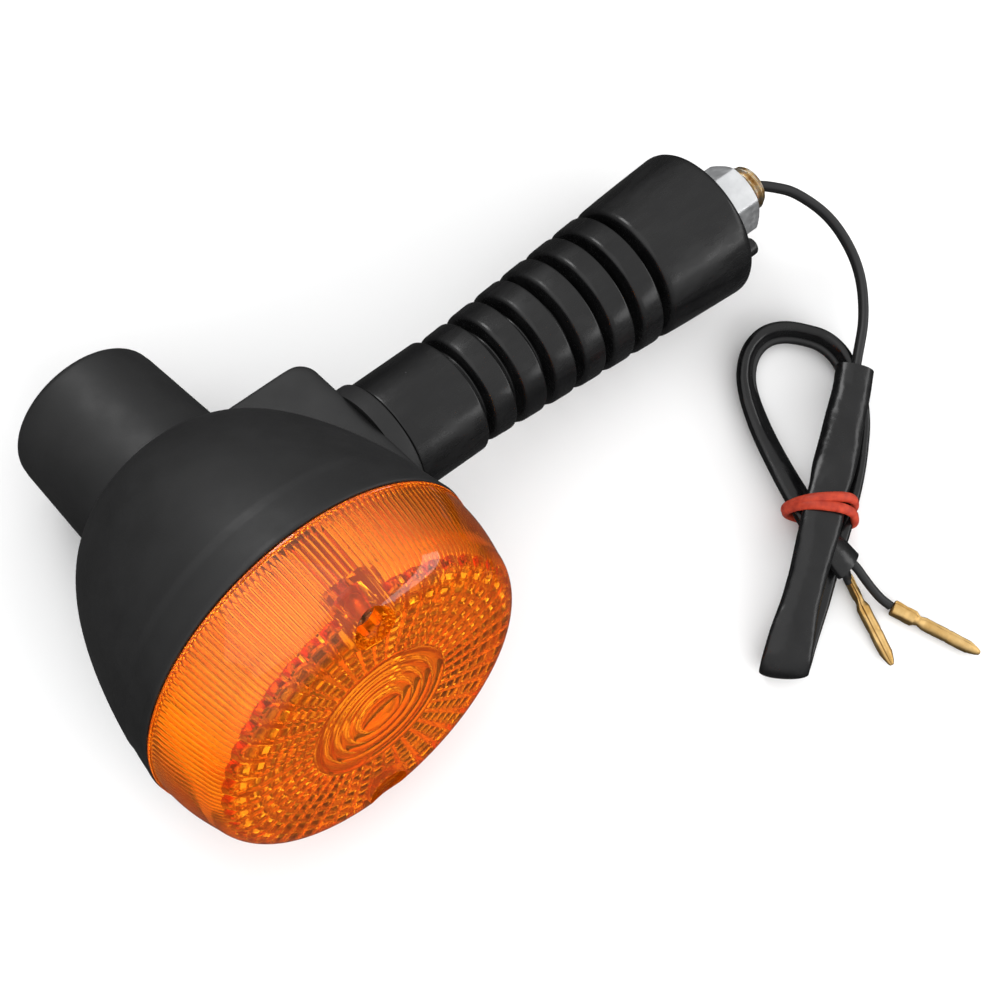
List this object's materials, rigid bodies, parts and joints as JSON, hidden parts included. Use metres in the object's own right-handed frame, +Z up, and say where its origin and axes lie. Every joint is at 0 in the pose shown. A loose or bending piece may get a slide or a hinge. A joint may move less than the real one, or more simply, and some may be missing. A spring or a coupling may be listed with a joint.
{
  "type": "turn signal indicator",
  "caption": "Round amber turn signal on a ribbed flexible rubber stem with a hollow threaded mounting stud and a banded pair of leads.",
  "frame": {"origin": "middle of the bounding box of the lamp without its free leads, on the surface that the lamp lies on", "axes": "+X runs from the lamp head along the stem towards the mounting stud, seen from above; +Z is up from the surface; the lens faces -Y and tilts up"},
  "size_m": [0.1848, 0.1498, 0.0744],
  "materials": {
    "housing_plastic": "fine matte moulded texture",
    "stem_rubber": "smooth satin black, faint handling marks",
    "amber_plastic": "clear amber, polished outside, prisms inside",
    "zinc_steel": "bright zinc plating",
    "yellow_zinc_steel": "yellow passivated zinc plating",
    "brass": "rolled and crimped brass, lightly tarnished",
    "spring_steel": "drawn wire",
    "reflector_chrome": "vacuum metallised",
    "bulb_clear_glass": "clear",
    "tungsten": "drawn wire",
    "solder": "dull tin solder",
    "fibre": "pressed fibre board",
    "black_glass": "black fused glass",
    "seal_rubber": "soft matte foam rubber",
    "lead_vinyl": "semi-gloss extruded insulation",
    "sleeve_vinyl": "soft glossy flattened sleeve",
    "band_rubber": "matte natural rubber, red"
  },
  "bodies": {
    "mount": {"mount_stud": "yellow_zinc_steel", "stem_mount_end": "stem_rubber", "stem_outer_ribs": "stem_rubber", "lead_live": "lead_vinyl", "lead_earth": "lead_vinyl", "lead_sleeve": "sleeve_vinyl", "lead_live_tail": "lead_vinyl", "lead_earth_tail": "lead_vinyl", "bullet_live": "brass", "bullet_earth": "brass", "rubber_band": "band_rubber"},
    "stem_middle": {"stem_middle": "stem_rubber", "stem_inner_ribs": "stem_rubber"},
    "head": {"housing": "housing_plastic", "lens_seal": "seal_rubber", "reflector": "reflector_chrome", "socket_shell": "brass", "inner_lead_live": "lead_vinyl", "inner_lead_earth": "lead_vinyl", "contact_spring": "spring_steel", "head_stud": "zinc_steel", "head_nut": "zinc_steel", "head_washer": "zinc_steel", "stem_head_end": "stem_rubber"},
    "lens": {"lens": "amber_plastic"},
    "screw_top": {"lens_screw_top": "zinc_steel"},
    "screw_bottom": {"lens_screw_bottom": "zinc_steel"},
    "plunger": {"contact_disc": "fibre", "contact_rivet": "brass"},
    "bulb": {"bulb_glass": "bulb_clear_glass", "bulb_filament": "tungsten", "bulb_base": "brass", "bulb_insulator": "black_glass", "bulb_contact": "solder"},
    "washer": {"spring_washer": "zinc_steel"},
    "nut": {"mount_nut": "zinc_steel"}
  },
  "joints": [
    {"name": "stem_bend_fore_aft", "type": "hinge", "parent": "mount", "child": "stem_middle", "pos_m": [0.04103, 0.0031, 0.01914], "axis": [-0.0992, -0.334, -0.9373], "range_deg": [-25, 25], "stiffness_Nm_per_rad": 20, "deforming": ["stem_outer_ribs"]},
    {"name": "stem_bend_up_down", "type": "hinge", "parent": "stem_middle", "child": "head", "pos_m": [0.01199, 0.0031, 0.02221], "axis": [-0.0351, 0.9426, -0.3322], "range_deg": [-25, 25], "stiffness_Nm_per_rad": 20, "deforming": ["stem_inner_ribs"]},
    {"name": "lens_off", "type": "slide", "parent": "head", "child": "lens", "axis": [0.0351, -0.9426, 0.3322], "range_m": [0, 0.045]},
    {"name": "lens_screw_top_out", "type": "slide", "parent": "lens", "child": "screw_top", "axis": [0.0351, -0.9426, 0.3322], "range_m": [0, 0.012]},
    {"name": "lens_screw_bottom_out", "type": "slide", "parent": "lens", "child": "screw_bottom", "axis": [0.0351, -0.9426, 0.3322], "range_m": [0, 0.012]},
    {"name": "bulb_push", "type": "slide", "parent": "head", "child": "plunger", "axis": [-0.0351, 0.9426, -0.3322], "range_m": [0, 0.002], "stiffness_N_per_m": 1500, "springref_m": -0.003, "deforming": ["contact_spring", "inner_lead_live"]},
    {"name": "bulb_twist", "type": "hinge", "parent": "plunger", "child": "bulb", "pos_m": [-0.05101, 0.01253, 0.02552], "axis": [-0.0351, 0.9426, -0.3322], "range_deg": [0, 18]},
    {"name": "nut_turn", "type": "hinge", "parent": "washer", "child": "nut", "pos_m": [0.07762, 0.0031, 0.01527], "axis": [0.9944, 0, -0.1052], "range_deg": [0, 1300]},
    {"name": "washer_slide", "type": "slide", "parent": "mount", "child": "washer", "axis": [0.9944, 0, -0.1052], "range_m": [0, 0.0045]}
  ],
  "couplings": [
    {"joint": "nut_turn", "follows": "washer_slide", "rad_per_m": 5026.5}
  ]
}
